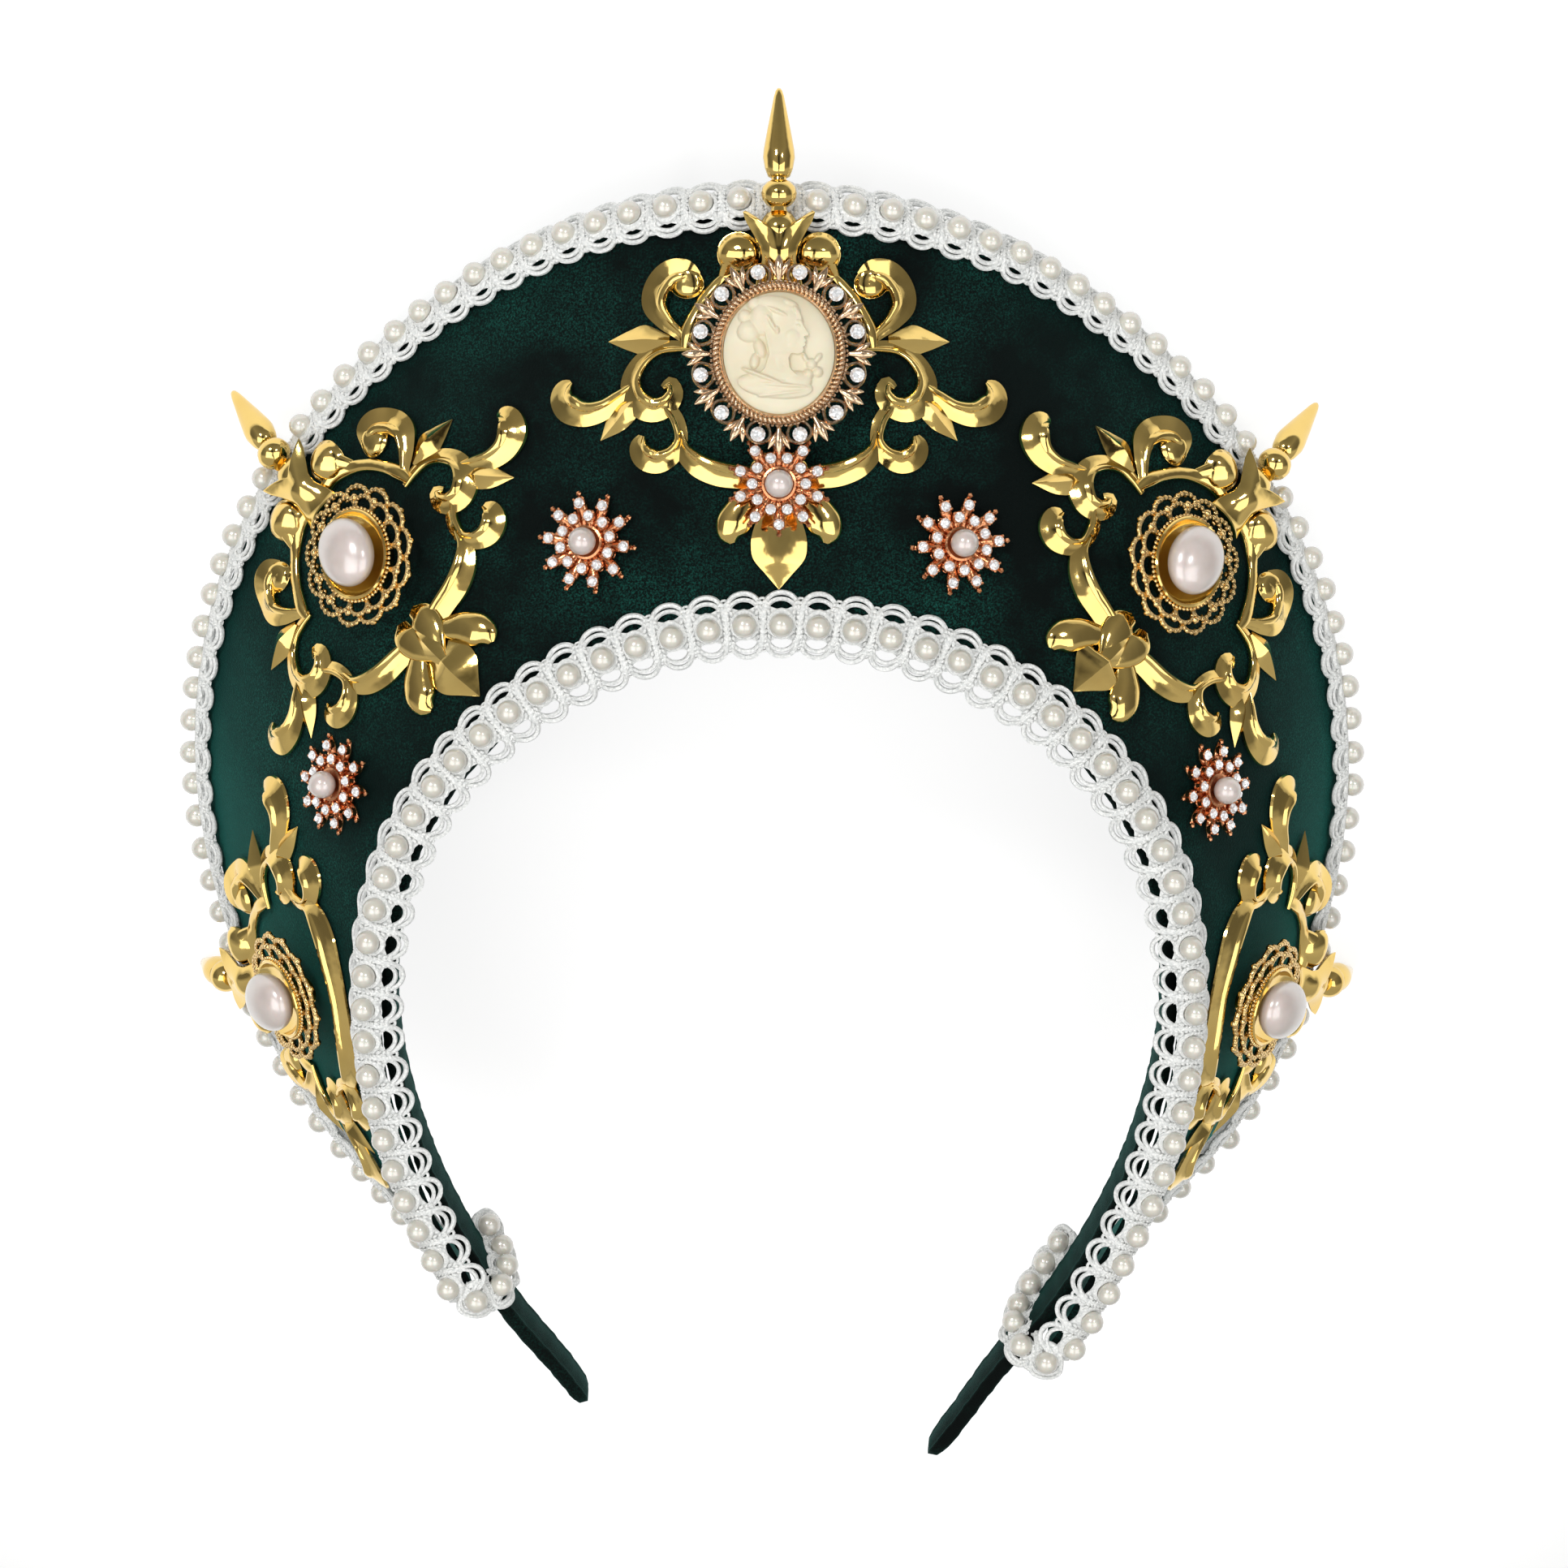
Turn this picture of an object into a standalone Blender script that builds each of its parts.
"""French hood: a velvet crescent on a velvet headband, with pearl lace, brass scrolls and brooches.

The hood is drawn in its own frame in millimetres: X to the right as seen from the front, Y up the
head, Z to the front, with the origin at the centre of the headband's circle. Angles run from the top
of the head, positive to the right. Two empties then lay the hood on its back, on its finials.
"""

import math

import bmesh
import bpy
import numpy as np
from mathutils import Matrix, Vector

MM = 0.001
FUSE_ANGLE = math.radians(3)
FUSE_DISTANCE = 0.05
SHARP_ANGLE = math.radians(35)
EDGE_SAMPLES = 1200

# The crescent, station by station from the top of the head down each arm.
STATION_COLUMNS = ("angle", "inner_radius", "width_left", "width_right", "tilt", "camber")
STATIONS = (
    (0, 77.0, 75.0, 75.0, 21, 13),
    (30, 76.8, 75.0, 72.0, 38, 18),
    (60, 76.4, 71.0, 65.0, 50, 18),
    (90, 74.8, 61.0, 57.0, 60, 14),
    (115, 76.4, 40.0, 44.0, 66, 12),
    (130, 80.0, 19.0, 28.0, 76, 8),
    (144, 86.8, 10.0, 14.0, 86, 4),
)
TIP_LEFT = -134.0
TIP_RIGHT = 143.0
VELVET_WALL = 2.0
CRESCENT_STEPS = 37
CRESCENT_ROWS = 4

# The headband, a padded strip behind the crescent's inner edge with two bare ends.
BAND_COLUMNS = ("angle", "radius", "depth")
BAND = (
    (0, 74.9, 12.0),
    (30, 74.9, 12.0),
    (60, 74.1, 12.0),
    (90, 72.0, 12.0),
    (115, 73.3, 12.0),
    (130, 76.5, 11.5),
    (141, 80.5, 11.0),
    (152, 86.0, 9.5),
    (164, 98.0, 7.0),
)
BAND_END_LEFT = -156.0
BAND_END_RIGHT = 163.0
BAND_THICK = 3.0
BAND_EDGE_THICK = 1.8
BAND_FRONT = -2.3
BAND_STEPS = 32

# Pearl lace: a woven strip with one pearl to each scallop.
PITCH = 6.6
PEARL_RADIUS = 2.2
PEARL_SIDES = 10
PEARL_CAP_SIDES = 5
PEARL_CAP_RADIUS = 1.1
PEARL_CAP_HEIGHT = 3.2
PEARL_LOOPS = ((PEARL_SIDES, PEARL_RADIUS, 0.0), (PEARL_CAP_SIDES, PEARL_CAP_RADIUS, PEARL_CAP_HEIGHT))
LACE_THICK = 1.0
LACE_HEIGHT = 1.45
LACE_SEAT = 2.35
LACE_HALF = 4.8
LACE_EDGE_LIFT = 0.8
LACE_WING = 2.9
OUTER_LACE_LEAN = math.radians(22)
OUTER_LACE_FOLD = math.radians(67)
INNER_LACE_LEAN = 0.55
INNER_LACE_FOLD = math.radians(28)
BEARING_START = 0.01

# Scroll mounts: angle from the top, distance from the inner edge, turn, and how far the foot reaches.
SCROLLS = (
    ("centre", 0.0, 47.5, 0.0, 41.4),
    ("upper_left", -43.7, 44.5, -5.0, 38.5),
    ("upper_right", 43.2, 41.5, 6.5, 35.5),
    ("lower_left", -93.0, 30.8, -13.0, 0.0),
    ("lower_right", 93.0, 30.2, 15.0, 0.0),
)
FINIAL_BALL = 29.0

# Brooches: angle from the top, distance from the inner edge, turn.
PEARL_BROOCHES = (
    ("upper_left", -42.8, 42.0, 8.0),
    ("upper_right", 41.9, 38.5, -8.0),
    ("lower_left", -92.0, 25.0, -13.0),
    ("lower_right", 92.5, 22.5, 15.0),
)
FLOWER_BROOCHES = (
    ("centre", 0.0, 24.8, 0.0),
    ("upper_left", -20.9, 20.5, 0.0),
    ("upper_right", 19.8, 19.5, 0.0),
    ("lower_left", -63.2, 20.0, 0.0),
    ("lower_right", 63.0, 17.5, 0.0),
)
CAMEO_PLACE = (0.0, 47.5, 0.0)

# Degrees of the crescent to a millimetre across, to start Newton's method from.
FIRST_GUESS = 0.5
NEWTON_STEPS = 8


def column(table, names, name):
    """One named column of a table as an array."""
    return np.array([row[names.index(name)] for row in table], float)


def smooth_curve(x, xs, ys):
    """A smooth curve through table rows, its slopes read from the neighbouring rows."""
    x = np.asarray(x, float)
    slopes = np.gradient(ys, xs)
    i = np.clip(np.searchsorted(xs, x) - 1, 0, len(xs) - 2)
    step = xs[i + 1] - xs[i]
    t = (x - xs[i]) / step
    start = ys[i] * (1 + 2 * t) * (1 - t) ** 2 + slopes[i] * step * t * (1 - t) ** 2
    end = ys[i + 1] * t ** 2 * (3 - 2 * t) - slopes[i + 1] * step * t ** 2 * (1 - t)
    return start + end


def both_sides(table, names, left, right, angle):
    """A table column read at an angle, from one column on the left and one on the right."""
    xs = column(table, names, "angle")
    ys_left = column(table, names, left)
    ys_right = column(table, names, right)
    return smooth_curve(angle, np.r_[-xs[:0:-1], xs], np.r_[ys_left[:0:-1], ys_right])


def section(angle):
    """Inner radius, width, tilt and camber of the crescent at an angle."""
    radius = both_sides(STATIONS, STATION_COLUMNS, "inner_radius", "inner_radius", angle)
    width = both_sides(STATIONS, STATION_COLUMNS, "width_left", "width_right", angle)
    tilt = np.radians(both_sides(STATIONS, STATION_COLUMNS, "tilt", "tilt", angle))
    camber = np.radians(both_sides(STATIONS, STATION_COLUMNS, "camber", "camber", angle))
    return radius, width, tilt, camber


def skin_point(angle, distance):
    """A point of the velvet's front face, at an angle and a distance from the inner edge."""
    radius, width, tilt, camber = section(angle)
    bend = camber / width
    start = tilt - camber / 2
    here = start + bend * np.asarray(distance, float)
    reach = radius + (np.sin(here) - np.sin(start)) / bend
    back = (np.cos(here) - np.cos(start)) / bend
    turn = np.radians(angle)
    return np.stack((reach * np.sin(turn), reach * np.cos(turn), back), -1)


def unit(vectors):
    """Vectors scaled to length one."""
    return vectors / np.linalg.norm(vectors, axis=-1, keepdims=True)


def skin_axes(angle, distance):
    """Directions on the velvet at a point: sideways, outward and off the face."""
    step = 0.05
    side = skin_point(angle + step, distance) - skin_point(angle - step, distance)
    outward = unit(skin_point(angle, distance + step) - skin_point(angle, distance - step))
    normal = unit(np.cross(side, outward))
    return np.cross(outward, normal), outward, normal


class Place:
    """A flat working plane that touches the velvet at one point, turned about its normal."""

    def __init__(self, angle, distance, turn):
        self.angle = angle
        self.distance = distance
        self.turn = math.radians(turn)
        self.origin = skin_point(angle, distance)
        side, outward, self.normal = skin_axes(angle, distance)
        self.along = outward * math.cos(self.turn) + side * math.sin(self.turn)
        self.across = np.cross(self.along, self.normal)

    def flat(self, points):
        """Places of points in the plane, as across and along."""
        reach = points - self.origin
        return np.stack((reach @ self.across, reach @ self.along), -1)

    def foot_of(self, across, along):
        """Angle and distance of the velvet's point under a point of the plane, by Newton's method."""
        target = np.stack((across, along), -1)
        angle = self.angle + across * FIRST_GUESS
        distance = self.distance + along * math.cos(self.turn)
        step = 0.01
        for _ in range(NEWTON_STEPS):
            here = self.flat(skin_point(angle, distance))
            by_angle = (self.flat(skin_point(angle + step, distance)) - here) / step
            by_distance = (self.flat(skin_point(angle, distance + step)) - here) / step
            miss = here - target
            area = by_angle[..., 0] * by_distance[..., 1] - by_distance[..., 0] * by_angle[..., 1]
            angle = angle - (miss[..., 0] * by_distance[..., 1] - by_distance[..., 0] * miss[..., 1]) / area
            distance = distance - (by_angle[..., 0] * miss[..., 1] - miss[..., 0] * by_angle[..., 1]) / area
        return angle, distance

    def drape(self, points):
        """Points given as across, along and height, laid on the velvet."""
        points = np.atleast_2d(np.asarray(points, float))
        angle, distance = self.foot_of(points[:, 0], points[:, 1])
        return skin_point(angle, distance) + self.normal * points[:, 2:3]

    def matrix(self, height):
        """A stiff ornament's placing: its Z off the velvet, its Y outward."""
        axes = Matrix((self.across, self.along, self.normal)).transposed().to_4x4()
        spot = (self.origin + self.normal * height) * MM
        return Matrix.Translation(Vector(spot)) @ axes


# Mesh helpers, all of them in millimetres until a piece is added.

def solid(points, faces):
    """A mesh from points and faces, its faces turned outward."""
    bm = bmesh.new()
    verts = [bm.verts.new(point) for point in points]
    for face in faces:
        bm.faces.new([verts[i] for i in face])
    bmesh.ops.recalc_face_normals(bm, faces=bm.faces[:])
    mesh = bpy.data.meshes.new("solid")
    bm.to_mesh(mesh)
    bm.free()
    return mesh


def points_of(mesh):
    """A mesh's vertices as an array."""
    return np.array([vert.co[:] for vert in mesh.vertices])


def loft(rings):
    """A closed solid through rings of equal count, with flat ends."""
    count = len(rings[0])
    points = [tuple(point) for ring in rings for point in ring]
    faces = []
    for row in range(len(rings) - 1):
        for i in range(count):
            j = (i + 1) % count
            faces.append((row * count + i, row * count + j, (row + 1) * count + j, (row + 1) * count + i))
    faces.append(tuple(range(count)))
    faces.append(tuple(range((len(rings) - 1) * count, len(rings) * count)))
    return solid(points, faces)


def lathe(profile, sides, scale=(1.0, 1.0)):
    """A closed turned solid about Z from height and radius pairs, with a point at each end."""
    points = [(0.0, 0.0, profile[0][0])]
    for height, radius in profile[1:-1]:
        for i in range(sides):
            turn = 2 * math.pi * i / sides
            points.append((radius * scale[0] * math.cos(turn), radius * scale[1] * math.sin(turn), height))
    points.append((0.0, 0.0, profile[-1][0]))
    last = len(points) - 1
    rows = len(profile) - 2
    faces = []
    for i in range(sides):
        j = (i + 1) % sides
        faces.append((0, 1 + j, 1 + i))
        for row in range(rows - 1):
            low = 1 + row * sides
            faces.append((low + i, low + j, low + sides + j, low + sides + i))
        top = 1 + (rows - 1) * sides
        faces.append((top + i, top + j, last))
    return solid(points, faces)


def fused(solids):
    """One closed mesh from overlapping closed solids."""
    objects = []
    for number, mesh in enumerate(solids):
        obj = bpy.data.objects.new("joining_%d" % number, mesh)
        bpy.context.scene.collection.objects.link(obj)
        objects.append(obj)
    body = objects[0]
    for tool in objects[1:]:
        join = body.modifiers.new("join", "BOOLEAN")
        join.operation = "UNION"
        join.object = tool
    graph = bpy.context.evaluated_depsgraph_get()
    result = bpy.data.meshes.new_from_object(body.evaluated_get(graph))
    for obj in objects:
        bpy.data.objects.remove(obj)
    bm = bmesh.new()
    bm.from_mesh(result)
    bmesh.ops.dissolve_limit(bm, angle_limit=FUSE_ANGLE, verts=bm.verts[:], edges=bm.edges[:])
    bmesh.ops.remove_doubles(bm, verts=bm.verts[:], dist=FUSE_DISTANCE)
    bm.to_mesh(result)
    bm.free()
    return result


def make_material(name, colour, roughness, metallic):
    """A plain Principled material from a linear colour."""
    material = bpy.data.materials.new(name)
    material.use_nodes = True
    shader = material.node_tree.nodes["Principled BSDF"]
    shader.inputs["Base Color"].default_value = (*colour, 1.0)
    shader.inputs["Roughness"].default_value = roughness
    shader.inputs["Metallic"].default_value = metallic
    material.diffuse_color = (*colour, 1.0)
    return material


def add_piece(name, mesh, material, parent, matrix=None):
    """A named sub-part from a mesh in millimetres, with its material and its place on the hood."""
    metres = mesh.copy()
    metres.name = name
    metres.transform(Matrix.Scale(MM, 4))
    metres.shade_smooth()
    metres.set_sharp_from_angle(angle=SHARP_ANGLE)
    metres.materials.clear()
    metres.materials.append(material)
    obj = bpy.data.objects.new(name, metres)
    bpy.context.scene.collection.objects.link(obj)
    obj.parent = parent
    if matrix is not None:
        obj.matrix_local = matrix
    return obj


# Velvet crescent and headband

def crescent_mesh():
    """A cloth wall from the inner edge to the outer edge, tip to tip."""
    angles = np.linspace(TIP_LEFT, TIP_RIGHT, CRESCENT_STEPS + 1)
    rows = np.linspace(0.0, 1.0, CRESCENT_ROWS + 1)
    rings = []
    for angle in angles:
        width = section(angle)[1]
        front = [skin_point(angle, row * width) for row in rows]
        back = [skin_point(angle, row * width) - skin_axes(angle, row * width)[2] * VELVET_WALL for row in rows]
        rings.append(front + back[::-1])
    return loft(rings)


def headband_mesh():
    """A padded strip: thick along its middle, thinner at its edges, narrowing to each end."""
    angles = np.linspace(BAND_END_LEFT, BAND_END_RIGHT, BAND_STEPS + 1)
    radii = both_sides(BAND, BAND_COLUMNS, "radius", "radius", angles)
    depths = both_sides(BAND, BAND_COLUMNS, "depth", "depth", angles)
    turns = np.radians(angles)
    path = np.stack((radii * np.sin(turns), radii * np.cos(turns), np.zeros_like(radii)), -1)
    run = unit(np.gradient(path, axis=0))
    off = np.stack((-run[:, 1], run[:, 0], np.zeros_like(radii)), -1)
    front = np.array((0.0, 0.0, 1.0))
    rings = []
    for spot, outward, depth in zip(path, off, depths):
        ring = []
        for across, thick in ((0.0, BAND_EDGE_THICK), (0.5, BAND_THICK), (1.0, BAND_EDGE_THICK)):
            ring.append(spot + outward * thick / 2 + front * (BAND_FRONT - across * depth))
        for across, thick in ((1.0, BAND_EDGE_THICK), (0.5, BAND_THICK), (0.0, BAND_EDGE_THICK)):
            ring.append(spot - outward * thick / 2 + front * (BAND_FRONT - across * depth))
        rings.append(ring)
    return loft(rings)


# Pearl lace

def lace_profile(lean, fold):
    """The lace across its width: a wing on the velvet, the pearls' seat, and a wing folded over the edge."""
    seat = np.array((math.cos(lean), math.sin(lean)))
    middle = np.array((0.0, LACE_HEIGHT))
    wing = np.array((LACE_HALF, LACE_EDGE_LIFT))
    body_end = middle + seat * LACE_SEAT
    free_end = middle - seat * LACE_SEAT
    free_wing = free_end - np.array((math.cos(fold), math.sin(fold))) * LACE_WING
    seat_down = np.array((math.sin(lean), -math.cos(lean))) * LACE_THICK
    fold_down = np.array((math.sin(fold), -math.cos(fold))) * LACE_THICK
    bend_down = unit(seat_down + fold_down) * LACE_THICK
    return (wing, body_end, free_end, free_wing, free_end + bend_down, body_end + seat_down)


def lace_ring(angle, distance, toward_body, lean, fold):
    """The lace's cross-section set up at one place of an edge."""
    edge = skin_point(angle, distance)
    _, outward, normal = skin_axes(angle, distance)
    return [edge + outward * toward_body * u + normal * h for u, h in lace_profile(lean, fold)]


def bridge_faces(outer, inner, points):
    """Triangles between a loop of points and a smaller loop inside it."""
    centre = np.mean([points[i] for i in outer], axis=0)
    first = unit(points[outer[0]] - centre)
    normal = unit(np.cross(first, points[outer[1]] - centre))
    second = np.cross(normal, first)

    def bearing(i):
        reach = points[i] - centre
        return (math.atan2(reach @ second, reach @ first) + BEARING_START) % (2 * math.pi)

    marks = sorted([(bearing(i), 0, i) for i in outer] + [(bearing(i), 1, i) for i in inner])
    latest = [max(m for m in marks if m[1] == kind)[2] for kind in (0, 1)]
    faces = []
    for _, kind, i in marks:
        faces.append((latest[0], latest[1], i))
        latest[kind] = i
    return faces


def lace_mesh(rings, bare):
    """A strip of lace through its cross-sections, with a pearl on each seat that isn't bare."""
    points = [point for ring in rings for point in ring]
    count = len(rings[0])
    faces = [tuple(range(count)), tuple(range(len(points) - count, len(points)))]
    for cell in range(len(rings) - 1):
        here = cell * count
        there = here + count
        for i in range(count):
            j = (i + 1) % count
            if i != 1 or cell in bare:
                faces.append((here + i, here + j, there + j, there + i))
        if cell in bare:
            continue
        seat = (here + 1, here + 2, there + 2, there + 1)
        corners = np.array([points[i] for i in seat])
        middle = corners.mean(axis=0)
        along = unit(corners[3] + corners[2] - corners[0] - corners[1])
        across = unit(corners[1] + corners[2] - corners[0] - corners[3])
        normal = unit(np.cross(across, along))
        normal = normal * np.sign(normal @ (middle - points[here + 5]))
        across = np.cross(normal, along)
        loops = []
        for sides, radius, height in PEARL_LOOPS:
            loop = []
            for k in range(sides):
                turn = 2 * math.pi * (k + 0.5) / sides
                loop.append(len(points))
                points.append(middle + (along * math.cos(turn) + across * math.sin(turn)) * radius + normal * height)
            loops.append(loop)
        faces += bridge_faces(seat, loops[0], points)
        faces += bridge_faces(loops[0], loops[1], points)
        faces.append(tuple(loops[1]))
    return solid(points, faces)


def edge_table(distance_of):
    """Angles along an edge and the length run to each."""
    angles = np.linspace(TIP_LEFT, TIP_RIGHT, EDGE_SAMPLES)
    path = skin_point(angles, distance_of(angles))
    steps = np.linalg.norm(np.diff(path, axis=0), axis=1)
    return angles, np.r_[0.0, np.cumsum(steps)]


def inner_lace_rings():
    """Cross-sections along the inner edge, a whole number of scallops."""
    angles, lengths = edge_table(lambda angle: np.zeros_like(angle))
    cells = round(lengths[-1] / PITCH)
    rings = []
    for angle in np.interp(np.linspace(0.0, lengths[-1], cells + 1), lengths, angles):
        _, _, tilt, camber = section(angle)
        slope = tilt - camber / 2
        rings.append(lace_ring(angle, 0.0, 1.0, INNER_LACE_LEAN * slope, slope + INNER_LACE_FOLD))
    return rings


def outer_lace_rings():
    """Cross-sections along the outer edge, set out so that each finial stands over a bare seat."""
    angles, lengths = edge_table(lambda angle: section(angle)[1])
    finials = []
    for _, angle, distance, turn, _ in SCROLLS:
        over, _ = Place(angle, distance, turn).foot_of(np.array([0.0]), np.array([FINIAL_BALL]))
        finials.append(float(np.interp(over[0], angles, lengths)))
    finials.sort()
    stops = [0.0]
    bare = []
    before = finials[0]
    count = round(before / PITCH - 0.5)
    pitch = before / (count + 0.5)
    for k in range(count):
        stops.append(stops[-1] + pitch)
    for after in finials[1:]:
        bare.append(len(stops) - 1)
        count = round((after - before) / PITCH)
        pitch = (after - before) / count
        for k in range(count):
            stops.append(before + pitch * (k + 0.5))
        before = after
    bare.append(len(stops) - 1)
    rest = lengths[-1] - before
    count = round(rest / PITCH - 0.5)
    pitch = rest / (count + 0.5)
    for k in range(count + 1):
        stops.append(before + pitch * (k + 0.5))
    stops[-1] = lengths[-1]
    rings = []
    for angle in np.interp(stops, lengths, angles):
        rings.append(lace_ring(angle, float(section(angle)[1]), -1.0, OUTER_LACE_LEAN, OUTER_LACE_FOLD))
    return rings, bare


# Brass scroll mount, drawn flat: across, along and height, with Y towards the finial

# Arms, each row a point of its middle line: across, along and half the arm's width there.
RING_ARM = ((-1.2, 15.2, 1.2), (9.4, 14.4, 1.4), (15.0, 8.0, 1.5), (17.0, 1.2, 1.6))
CURL_ARM = ((16.6, 0.6, 1.4), (23.4, 6.0, 1.6), (24.8, 12.0, 2.2), (19.6, 16.6, 2.1))
MAIN_ARM = ((16.4, 1.4, 1.4), (25.0, 1.6, 1.6), (28.0, -4.0, 2.0), (24.2, -8.6, 2.0), (20.2, -6.0, 1.6))
FAR_ARM = ((26.6, -2.6, 1.5), (32.2, -7.8, 1.9), (38.2, -9.8, 2.6))
FALL_ARM = ((24.4, -8.4, 1.8), (18.6, -13.4, 1.7), (16.8, -19.6, 1.7))
BASE_ARM = ((19.8, -16.8, 2.0), (11.8, -21.0, 1.8), (-1.6, -22.2, 1.6))
ARMS = (RING_ARM, CURL_ARM, MAIN_ARM, FAR_ARM, FALL_ARM, BASE_ARM)
ARM_HEIGHT = 2.2

# Lobes: the middle across and along, half the length each way, and the turn in degrees.
CURL_LOBE = (17.8, 14.2, 3.4, 3.6, 0)
FAR_LOBE = (38.3, -8.3, 2.8, 4.0, 20)
SMALL_LOBE = (21.4, -17.8, 4.6, 2.6, 22)
HEAD_LOBE = (7.0, 17.8, 4.2, 3.4, 10)
FOOT_LOBE = (6.6, -29.6, 4.8, 3.0, -22)
SIDE_LOBES = (CURL_LOBE, FAR_LOBE, SMALL_LOBE, HEAD_LOBE)
LOBE_HEIGHT = 2.5
LOBE_SIDES = 6

# Leaves: the base across and along, the tip across and along, and half the widest width.
TALL_LEAF = (22.8, 3.8, 30.9, 4.1, 2.6)
DOWN_LEAF = (26.6, -6.8, 32.4, -14.9, 2.4)
EAR_LEAF = (-1.6, 12.0, 5.6, 23.5, 3.1)
SIDE_LEAVES = (TALL_LEAF, DOWN_LEAF, EAR_LEAF)
HEAD_LEAF = (0.0, 11.0, 0.0, 25.8, 2.4)
LEAF_HEIGHT = 2.0
FOOT_HEIGHT = 1.6
LEAF_WIDEST = 0.42
FOOT_LEAF_HALF = 5.3
FOOT_LEAF_TOP = 20.5

SCROLL_SEAT = 0.7
HEAD_LIFT = 2.5
HEAD_LIFT_FROM = 13.0
HEAD_LIFT_OVER = 6.0


def arm_solid(rows, height):
    """A ridged arm swept through its rows: two edges on the velvet and a ridge above."""
    path = np.array([row[:2] for row in rows], float)
    run = unit(np.gradient(path, axis=0))
    rings = []
    for (x, y, half), (rx, ry) in zip(rows, run):
        rings.append(((x - ry * half, y + rx * half, 0.0), (x + ry * half, y - rx * half, 0.0), (x, y, height)))
    return loft(rings)


def lobe_solid(row, mirror, height=LOBE_HEIGHT):
    """A low domed lobe on an oval base."""
    across, along, half_across, half_along, turn = row
    turn = math.radians(turn)
    points = []
    for k in range(LOBE_SIDES):
        bearing = 2 * math.pi * k / LOBE_SIDES
        x = half_across * math.cos(bearing)
        y = half_along * math.sin(bearing)
        spot_x = across + x * math.cos(turn) - y * math.sin(turn)
        spot_y = along + x * math.sin(turn) + y * math.cos(turn)
        points.append((mirror * spot_x, spot_y, 0.0))
    points.append((mirror * across, along, height))
    faces = [tuple(range(LOBE_SIDES))]
    faces += [(k, (k + 1) % LOBE_SIDES, LOBE_SIDES) for k in range(LOBE_SIDES)]
    return solid(points, faces)


def leaf_solid(row, mirror, height=LEAF_HEIGHT):
    """A pointed leaf with a ridge, on a kite-shaped base."""
    base_x, base_y, tip_x, tip_y, half = row
    base = np.array((base_x, base_y))
    tip = np.array((tip_x, tip_y))
    side = unit(np.array((tip_y - base_y, base_x - tip_x))) * half
    middle = base + (tip - base) * LEAF_WIDEST
    flat = [base, middle + side, tip, middle - side]
    points = [(mirror * x, y, 0.0) for x, y in flat]
    points.append((mirror * middle[0], middle[1], height))
    return solid(points, [(0, 1, 2, 3), (0, 1, 4), (1, 2, 4), (2, 3, 4), (3, 0, 4)])


def scroll_flat(foot):
    """The whole stamping in its own plane, both halves fused, with or without its foot."""
    solids = []
    for mirror in (1.0, -1.0):
        for rows in ARMS:
            solids.append(arm_solid([(mirror * x, y, half) for x, y, half in rows], ARM_HEIGHT))
        for row in SIDE_LOBES:
            solids.append(lobe_solid(row, mirror))
        for row in SIDE_LEAVES:
            solids.append(leaf_solid(row, mirror))
    solids.append(leaf_solid(HEAD_LEAF, 1.0))
    if foot:
        for mirror in (1.0, -1.0):
            solids.append(lobe_solid(FOOT_LOBE, mirror, FOOT_HEIGHT))
        solids.append(leaf_solid((0.0, -FOOT_LEAF_TOP, 0.0, -foot, FOOT_LEAF_HALF), 1.0, FOOT_HEIGHT))
    return fused(solids)


def scroll_mesh(place, foot):
    """The stamping bent to the velvet, its head lifted over the outer lace."""
    mesh = scroll_flat(foot)
    points = points_of(mesh)
    rise = np.clip((points[:, 1] - HEAD_LIFT_FROM) / HEAD_LIFT_OVER, 0.0, 1.0)
    points[:, 2] += SCROLL_SEAT + HEAD_LIFT * rise * rise * (3 - 2 * rise)
    bent = place.drape(points)
    mesh.vertices.foreach_set("co", bent.ravel())
    mesh.update()
    return mesh


# Finial: a spike and a ball, turned about its own axis

FINIAL_PROFILE = (
    (26.0, 0.0),
    (26.2, 1.6),
    (28.2, 3.2),
    (29.8, 3.2),
    (31.6, 1.3),
    (35.7, 2.85),
    (47.2, 0.5),
    (47.8, 0.0),
)
FINIAL_SIDES = 8
FINIAL_HEIGHT = 5.3
FINIAL_LEVER = 21.0


def finial_matrix(place):
    """The finial's placing: its axis runs on from the scroll mount's head."""
    start, end = place.drape(((0.0, FINIAL_LEVER, FINIAL_HEIGHT), (0.0, FINIAL_PROFILE[0][0], FINIAL_HEIGHT)))
    along = unit(end - start)
    across = place.across
    normal = np.cross(across, along)
    axes = Matrix((across, normal, along)).transposed().to_4x4()
    spot = (end - along * FINIAL_PROFILE[0][0]) * MM
    return Matrix.Translation(Vector(spot)) @ axes


# Pierced brooch bodies: rings of points on ovals, joined cell by cell. A ring's row gives half its
# size across and along, and the heights of its top and its underside.


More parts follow.
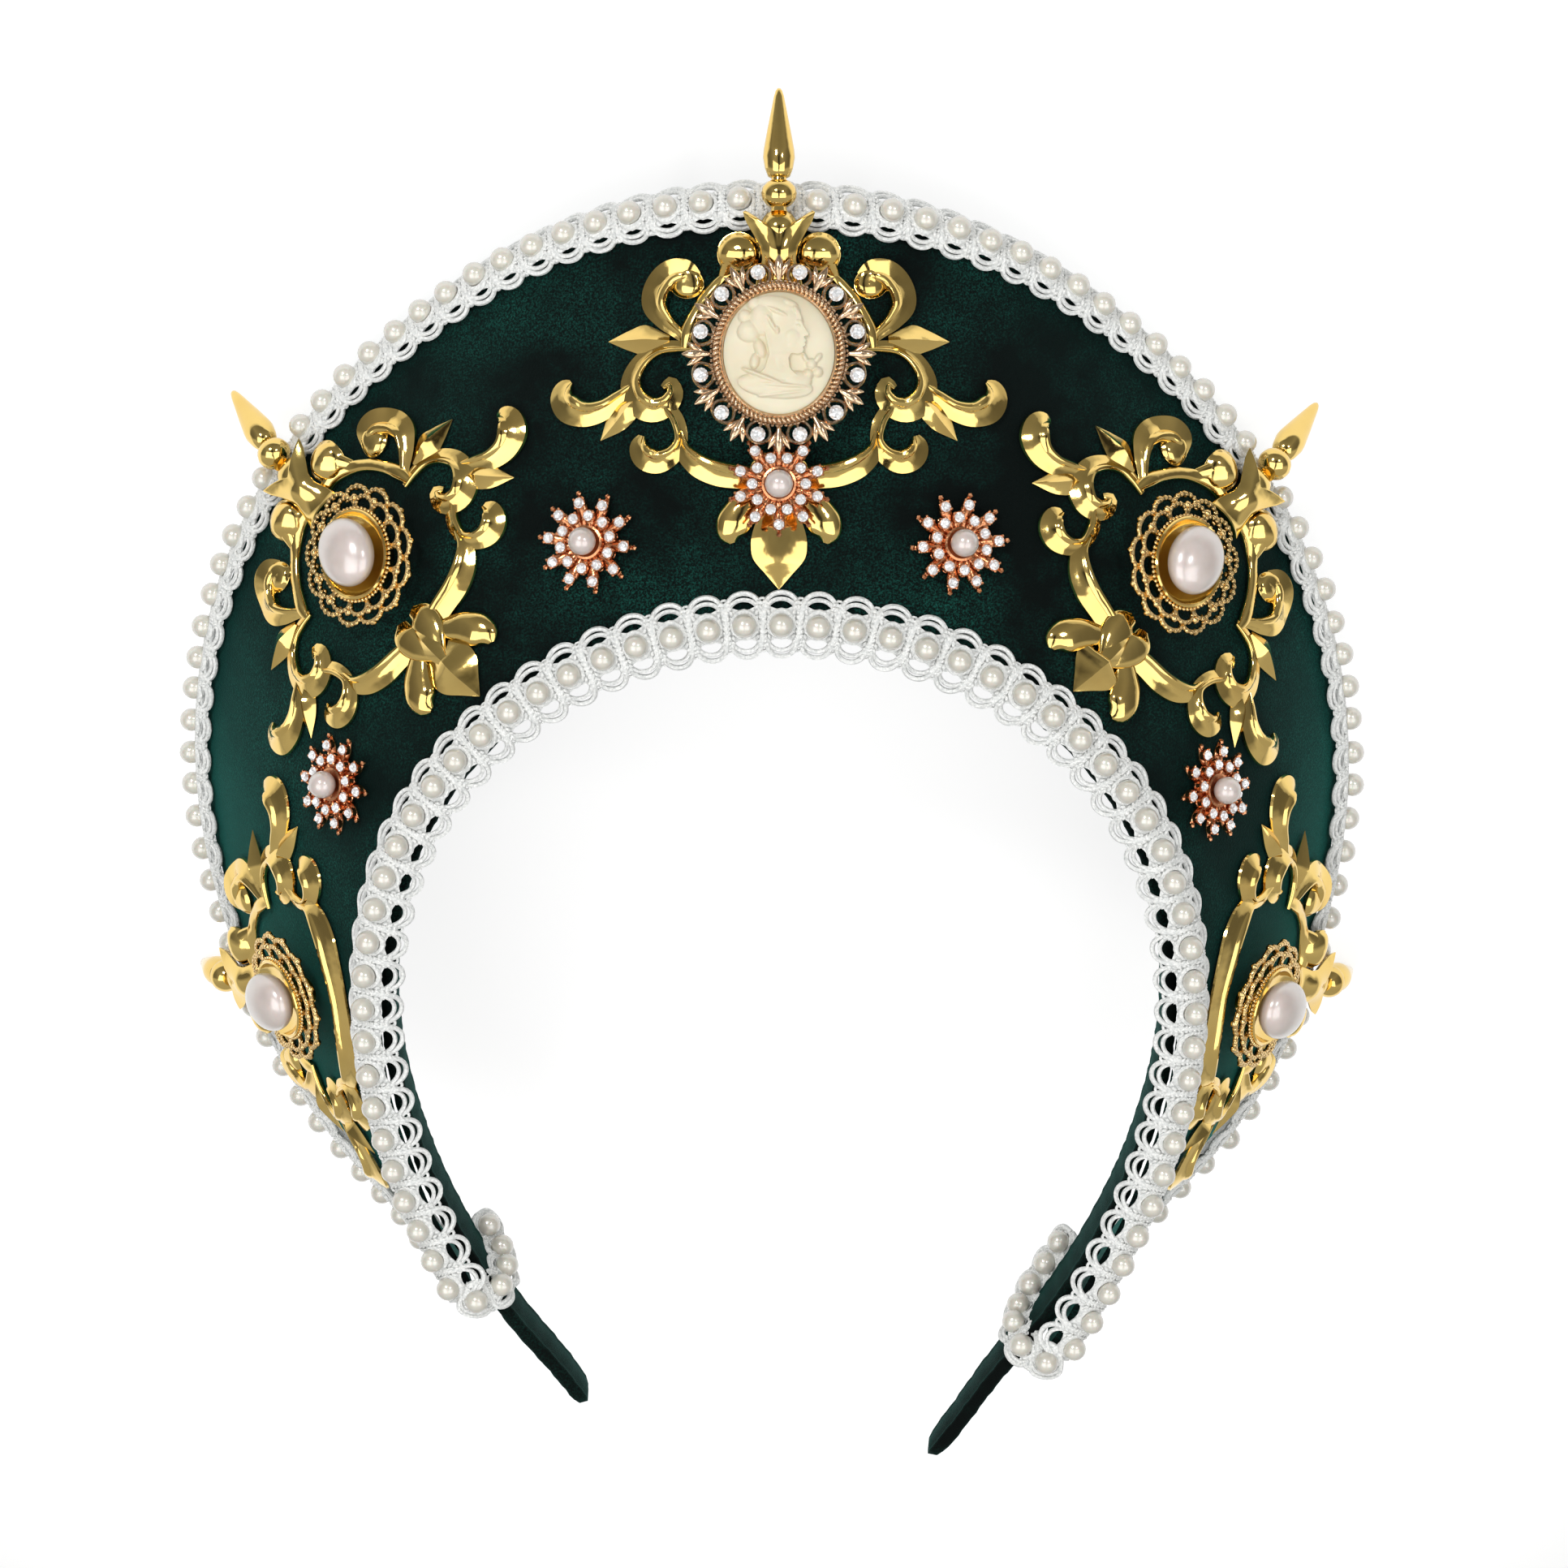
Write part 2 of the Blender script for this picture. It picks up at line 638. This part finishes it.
def rosette(rings, sides, open_row, open_every, pinch=0.0, stone=None):
    """A pierced oval plate with a cup: in one row of cells every other cell is cut through."""
    points = []
    tops = []
    unders = []
    for number, (half_across, half_along, top, bottom) in enumerate(rings):
        loop_top = []
        loop_under = []
        for k in range(sides):
            squeeze = pinch * (1 if k % 2 else -1) if number == len(rings) - 1 else 0.0
            turn = 2 * math.pi * (k + squeeze) / sides
            x = half_across * math.sin(turn)
            y = half_along * math.cos(turn)
            loop_top.append(len(points))
            points.append(np.array((x, y, top)))
            loop_under.append(len(points))
            points.append(np.array((x, y, bottom)))
        tops.append(loop_top)
        unders.append(loop_under)
    faces = [tuple(tops[0]), tuple(unders[open_row])]
    last = len(rings) - 1
    for row in range(last):
        for k in range(sides):
            j = (k + 1) % sides
            is_open = row == open_row and k % open_every
            quad = (tops[row][k], tops[row][j], tops[row + 1][j], tops[row + 1][k])
            if is_open:
                continue
            if stone and row == open_row:
                faces += stone_faces(quad, points, stone)
            else:
                faces.append(quad)
            if row >= open_row:
                faces.append((unders[row][k], unders[row][j], unders[row + 1][j], unders[row + 1][k]))
    for k in range(sides):
        j = (k + 1) % sides
        is_open = k % open_every
        if is_open:
            faces.append((tops[open_row][k], tops[open_row][j], unders[open_row][j], unders[open_row][k]))
            for edge in (k, j):
                faces.append((tops[open_row][edge], tops[open_row + 1][edge],
                              unders[open_row + 1][edge], unders[open_row][edge]))
            if open_row + 1 < last:
                faces.append((tops[open_row + 1][k], tops[open_row + 1][j],
                              unders[open_row + 1][j], unders[open_row + 1][k]))
        if open_row + 1 < last or not is_open:
            faces.append((tops[last][k], tops[last][j], unders[last][j], unders[last][k]))
    return solid(points, faces)


def stone_faces(quad, points, stone):
    """A cut stone standing on one cell: eight facets and a table, fused to its setting."""
    half, table_half, height, sides = stone
    corners = np.array([points[i] for i in quad])
    middle = corners.mean(axis=0)
    loops = []
    for radius, level in ((half, 0.0), (table_half, height)):
        loop = []
        for k in range(sides):
            turn = 2 * math.pi * (k + 0.5) / sides
            loop.append(len(points))
            points.append(middle + np.array((radius * math.cos(turn), radius * math.sin(turn), level)))
        loops.append(loop)
    faces = bridge_faces(quad, loops[0], points)
    for k in range(sides):
        j = (k + 1) % sides
        faces.append((loops[0][k], loops[0][j], loops[1][j], loops[1][k]))
    faces.append(tuple(loops[1]))
    return faces


# Oval pearl brooch: a cup, a rim and an openwork border
PEARL_BROOCH_RINGS = (
    (5.2, 6.2, 1.6, 0.0),
    (6.7, 7.9, 3.6, 0.0),
    (7.6, 8.8, 2.4, 0.8),
    (9.0, 10.2, 2.2, -2.0),
    (11.6, 12.8, 1.9, 0.9),
    (12.6, 13.8, 1.5, 0.9),
)
PEARL_BROOCH_SIDES = 16
OVAL_PEARL_HALF = (5.3, 6.3, 3.6)
OVAL_PEARL_SIDES = 12
OVAL_PEARL_ROWS = 5
BROOCH_HEIGHT = 2.6
CAMEO_HEIGHT = 3.75

# Cameo brooch: a roped rim and twelve rays, each with a cut stone
CAMEO_RINGS = (
    (9.6, 10.6, 1.6, 0.0),
    (11.4, 12.2, 3.4, 0.0),
    (12.4, 12.9, 2.2, 0.0),
    (13.0, 13.4, 2.0, 0.8),
    (15.9, 15.6, 1.9, 0.8),
    (17.3, 16.2, 1.6, 0.8),
)
CAMEO_SIDES = 24
CAMEO_STONE = (1.05, 0.6, 0.9, 8)
CAMEO_HALF = (9.9, 10.9)
CAMEO_OVAL = ((0.0, 0.0), (0.02, 0.90), (0.9, 1.0), (1.9, 0.80), (2.5, 0.45), (2.6, 0.0))
CAMEO_OVAL_SIDES = 16
# Relief: face, hair, bun, neck and shoulder, as lobes are given.
RELIEF = (
    (0.4, 2.4, 2.9, 3.5, -8),
    (-1.6, 3.9, 3.0, 2.9, 0),
    (-3.6, 1.2, 1.7, 1.5, 20),
    (-0.6, -2.2, 1.6, 2.6, 10),
    (-0.6, -5.4, 5.0, 2.0, 0),
)
RELIEF_HEIGHT = 2.89
RELIEF_BASE = 0.5

# Flower brooch: ten rays round a small cup
FLOWER_RINGS = (
    (1.6, 1.6, 0.9, 0.0),
    (2.9, 2.9, 1.9, 0.0),
    (4.4, 4.4, 1.4, 0.0),
    (9.4, 9.4, 0.9, 0.1),
)
FLOWER_SIDES = 20
FLOWER_PINCH = 0.22
FLOWER_PEARL_RADIUS = 2.5
FLOWER_PEARL_SIDES = 10
FLOWER_PEARL_ROWS = 4
FLOWER_HEIGHT = 0.6
CENTRE_FLOWER_HEIGHT = 3.25
SEAT_GAP = 0.3


def ball(half_across, half_along, half_height, sides, rows):
    """A round or oval pearl, its poles off and on the velvet."""
    profile = []
    for row in range(rows + 1):
        turn = math.pi * row / rows
        profile.append((-half_height * math.cos(turn), math.sin(turn)))
    return lathe(profile, sides, (half_across, half_along))


def cameo_mesh():
    """An oval stone with a raised head and shoulders in profile."""
    oval = lathe(CAMEO_OVAL, CAMEO_OVAL_SIDES, CAMEO_HALF)
    forms = [lobe_solid(row, 1.0, RELIEF_HEIGHT) for row in RELIEF]
    for form in forms:
        form.transform(Matrix.Translation((0.0, 0.0, RELIEF_BASE)))
    return fused([oval] + forms)


# Resting: the hood lies on the tips of three finials, front up

def resting_frame(contacts):
    """The turn that lays three contact points on the floor with the hood's front up."""
    first, second, third = contacts
    up = unit(np.cross(second - first, third - first))
    up = up * np.sign(up[2])
    right = unit(np.array((1.0, 0.0, 0.0)) - up * up[0])
    away = np.cross(up, right)
    return Matrix((right, away, up))


def main():
    """Build every sub-part, then lay the hood down and centre it over the origin."""
    for old in list(bpy.data.objects):
        bpy.data.objects.remove(old)

    velvet = make_material("green_velvet", (0.004, 0.038, 0.034), 0.9, 0.0)
    lace = make_material("pearl_lace", (0.80, 0.79, 0.75), 0.5, 0.0)
    brass = make_material("polished_brass", (0.72, 0.50, 0.17), 0.18, 1.0)
    rose = make_material("rose_gold", (0.66, 0.33, 0.16), 0.25, 1.0)
    pale_gold = make_material("pale_gold", (0.74, 0.54, 0.32), 0.25, 1.0)
    ivory = make_material("ivory_cameo", (0.80, 0.74, 0.58), 0.45, 0.0)
    pearl = make_material("pearl", (0.80, 0.72, 0.68), 0.2, 0.0)

    floor = bpy.data.objects.new("laid_on_its_back", None)
    bpy.context.scene.collection.objects.link(floor)

    pieces = [add_piece("velvet_crescent", crescent_mesh(), velvet, floor)]
    pieces.append(add_piece("headband", headband_mesh(), velvet, floor))
    pieces.append(add_piece("inner_pearl_lace", lace_mesh(inner_lace_rings(), []), lace, floor))
    rings, bare = outer_lace_rings()
    pieces.append(add_piece("outer_pearl_lace", lace_mesh(rings, bare), lace, floor))

    finial = lathe(FINIAL_PROFILE, FINIAL_SIDES)
    tips = {}
    for name, angle, distance, turn, foot in SCROLLS:
        place = Place(angle, distance, turn)
        pieces.append(add_piece("scroll_mount_" + name, scroll_mesh(place, foot), brass, floor))
        matrix = finial_matrix(place)
        pieces.append(add_piece("finial_" + name, finial, brass, floor, matrix))
        tips[name] = np.array(matrix @ Vector((0.0, 0.0, FINIAL_PROFILE[-1][0] * MM)))

    centre = Place(*CAMEO_PLACE)
    frame = rosette(CAMEO_RINGS, CAMEO_SIDES, 3, 2, stone=CAMEO_STONE)
    pieces.append(add_piece("cameo_frame", frame, pale_gold, floor, centre.matrix(CAMEO_HEIGHT)))
    cameo_height = CAMEO_HEIGHT + CAMEO_RINGS[0][2] + SEAT_GAP
    pieces.append(add_piece("cameo", cameo_mesh(), ivory, floor, centre.matrix(cameo_height)))

    brooch = rosette(PEARL_BROOCH_RINGS, PEARL_BROOCH_SIDES, 3, 2)
    oval = ball(*OVAL_PEARL_HALF, OVAL_PEARL_SIDES, OVAL_PEARL_ROWS)
    oval_height = BROOCH_HEIGHT + PEARL_BROOCH_RINGS[0][2] + SEAT_GAP + OVAL_PEARL_HALF[2]
    for name, angle, distance, turn in PEARL_BROOCHES:
        place = Place(angle, distance, turn)
        pieces.append(add_piece("pearl_brooch_" + name, brooch, brass, floor, place.matrix(BROOCH_HEIGHT)))
        pieces.append(add_piece("oval_pearl_" + name, oval, pearl, floor, place.matrix(oval_height)))

    flower = rosette(FLOWER_RINGS, FLOWER_SIDES, 2, 2, pinch=FLOWER_PINCH)
    round_half = (FLOWER_PEARL_RADIUS, FLOWER_PEARL_RADIUS, FLOWER_PEARL_RADIUS)
    round_pearl = ball(*round_half, FLOWER_PEARL_SIDES, FLOWER_PEARL_ROWS)
    for name, angle, distance, turn in FLOWER_BROOCHES:
        place = Place(angle, distance, turn)
        height = CENTRE_FLOWER_HEIGHT if name == "centre" else FLOWER_HEIGHT
        pearl_height = height + FLOWER_RINGS[0][2] + SEAT_GAP + FLOWER_PEARL_RADIUS
        pieces.append(add_piece("flower_brooch_" + name, flower, rose, floor, place.matrix(height)))
        pieces.append(add_piece("flower_pearl_" + name, round_pearl, pearl, floor, place.matrix(pearl_height)))

    contacts = (tips["lower_left"][:3], tips["lower_right"][:3], tips["upper_left"][:3])
    floor.matrix_world = resting_frame(contacts).to_4x4()
    bpy.context.view_layer.update()
    corners = [piece.matrix_world @ vert.co for piece in pieces for vert in piece.data.vertices]
    low = Vector([min(corner[axis] for corner in corners) for axis in range(3)])
    high = Vector([max(corner[axis] for corner in corners) for axis in range(3)])
    floor.matrix_world = Matrix.Translation((-(low.x + high.x) / 2, -(low.y + high.y) / 2, -low.z)) @ floor.matrix_world


main()
